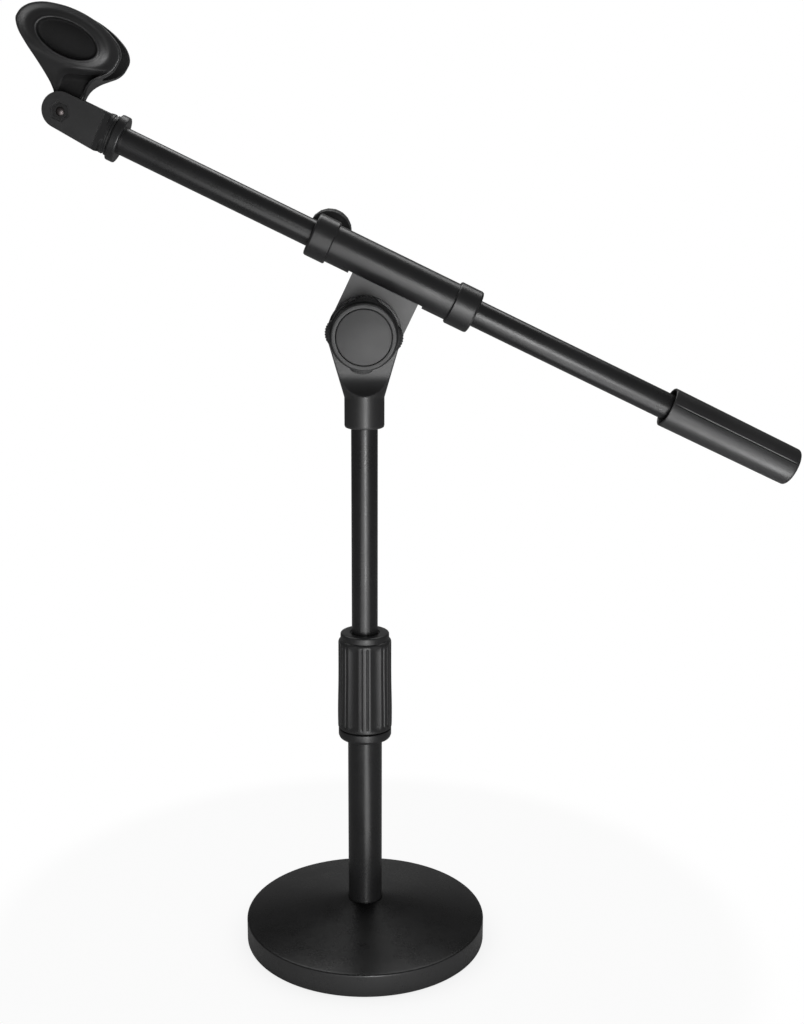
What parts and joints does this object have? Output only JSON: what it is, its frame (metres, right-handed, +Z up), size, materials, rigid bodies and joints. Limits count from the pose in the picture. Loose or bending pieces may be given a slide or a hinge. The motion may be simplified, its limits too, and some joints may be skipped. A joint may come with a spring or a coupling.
{
  "type": "boom microphone stand",
  "caption": "Table-top boom microphone stand: round weighted base, telescopic column with twist clutch, tilting boom with counterweight and flexible microphone clip.",
  "frame": {"origin": "centre of the underside of the round base, on the surface the stand rests on", "axes": "+Z up along the column, +X towards the counterweight end of the boom, -Y towards the side with the tilt knob"},
  "size_m": [0.4466, 0.15, 0.5637],
  "materials": {
    "cast": "fine satin black powder coat",
    "pad": "matt",
    "steel": "zinc plated",
    "blackened": "black oxide on steel",
    "tube": "satin black powder coat",
    "plastic": "fine moulded texture",
    "nylon": "natural nylon",
    "grip": "satin",
    "casting": "satin black paint on die casting",
    "fibre": "vulcanised fibre",
    "knob": "satin",
    "brass": "turned",
    "cap": "satin",
    "weight": "satin",
    "clip": "smooth thermoplastic elastomer"
  },
  "bodies": {
    "base": {"base_casting": "cast", "base_pad": "pad", "base_bolt": "steel", "base_washer": "steel", "lower_tube": "tube", "lower_tube_plug": "steel", "clutch_bottom_ring": "plastic", "clutch_stem": "plastic"},
    "collet": {"clutch_collet": "nylon"},
    "grip": {"clutch_grip": "grip", "clutch_top_ring": "plastic"},
    "column": {"upper_tube": "tube", "tube_guide": "nylon", "yoke_casting": "casting", "yoke_set_screw": "steel", "friction_washer": "fibre", "tilt_washer": "steel"},
    "head": {"boom_bracket": "casting", "sleeve_cover": "plastic", "sleeve_bush_left": "plastic", "sleeve_bush_right": "plastic", "tilt_bolt": "steel", "lock_insert": "brass", "brake_shoe": "nylon"},
    "knob": {"tilt_knob": "knob", "knob_insert": "brass", "knob_cap": "cap"},
    "lock": {"lock_screw": "steel", "lock_knob": "knob"},
    "liner": {"boom_liner": "nylon"},
    "boom": {"boom_tube": "tube", "boom_stud": "blackened", "counterweight_core": "steel", "counterweight_grip": "weight"},
    "ring": {"lock_ring": "plastic"},
    "socket": {"clip_socket": "plastic", "clip_nut": "blackened", "clip_screw": "steel"},
    "clip": {"mic_clip": "clip"}
  },
  "joints": [
    {"name": "grip_turn", "type": "hinge", "parent": "base", "child": "grip", "pos_m": [0, 0, 0.17], "axis": [0, 0, 1], "range_deg": [0, 270]},
    {"name": "column_swivel", "type": "hinge", "parent": "base", "child": "collet", "pos_m": [0, 0, 0.177], "axis": [0, 0, 1], "continuous": true},
    {"name": "height_slide", "type": "slide", "parent": "collet", "child": "column", "axis": [0, 0, 1], "range_m": [-0.068, 0.03]},
    {"name": "boom_tilt", "type": "hinge", "parent": "column", "child": "head", "pos_m": [0, 0, 0.3835], "axis": [0, 1, 0], "range_deg": [-85, 60]},
    {"name": "tilt_knob_turn", "type": "hinge", "parent": "head", "child": "knob", "pos_m": [0, 0, 0.3835], "axis": [0, -1, 0], "range_deg": [0, 360]},
    {"name": "lock_knob_turn", "type": "hinge", "parent": "head", "child": "lock", "pos_m": [-0.0224, 0, 0.43657], "axis": [0.0746, 0.9851, 0.1549], "range_deg": [0, 360]},
    {"name": "boom_spin", "type": "hinge", "parent": "head", "child": "liner", "pos_m": [0.01652, 0, 0.41783], "axis": [0.9011, 0, -0.4337], "continuous": true},
    {"name": "boom_slide", "type": "slide", "parent": "liner", "child": "boom", "axis": [0.9011, 0, -0.4337], "range_m": [-0.12, 0.11]},
    {"name": "lock_ring_turn", "type": "hinge", "parent": "boom", "child": "ring", "pos_m": [-0.13819, 0, 0.49229], "axis": [0.9011, 0, -0.4337], "range_deg": [0, 360]},
    {"name": "clip_spin", "type": "hinge", "parent": "boom", "child": "socket", "pos_m": [-0.14657, 0, 0.49632], "axis": [0.9011, 0, -0.4337], "range_deg": [-180, 180]},
    {"name": "clip_tilt", "type": "hinge", "parent": "socket", "child": "clip", "pos_m": [-0.16811, 0, 0.50669], "axis": [0, 1, 0], "range_deg": [-100, 12]}
  ]
}
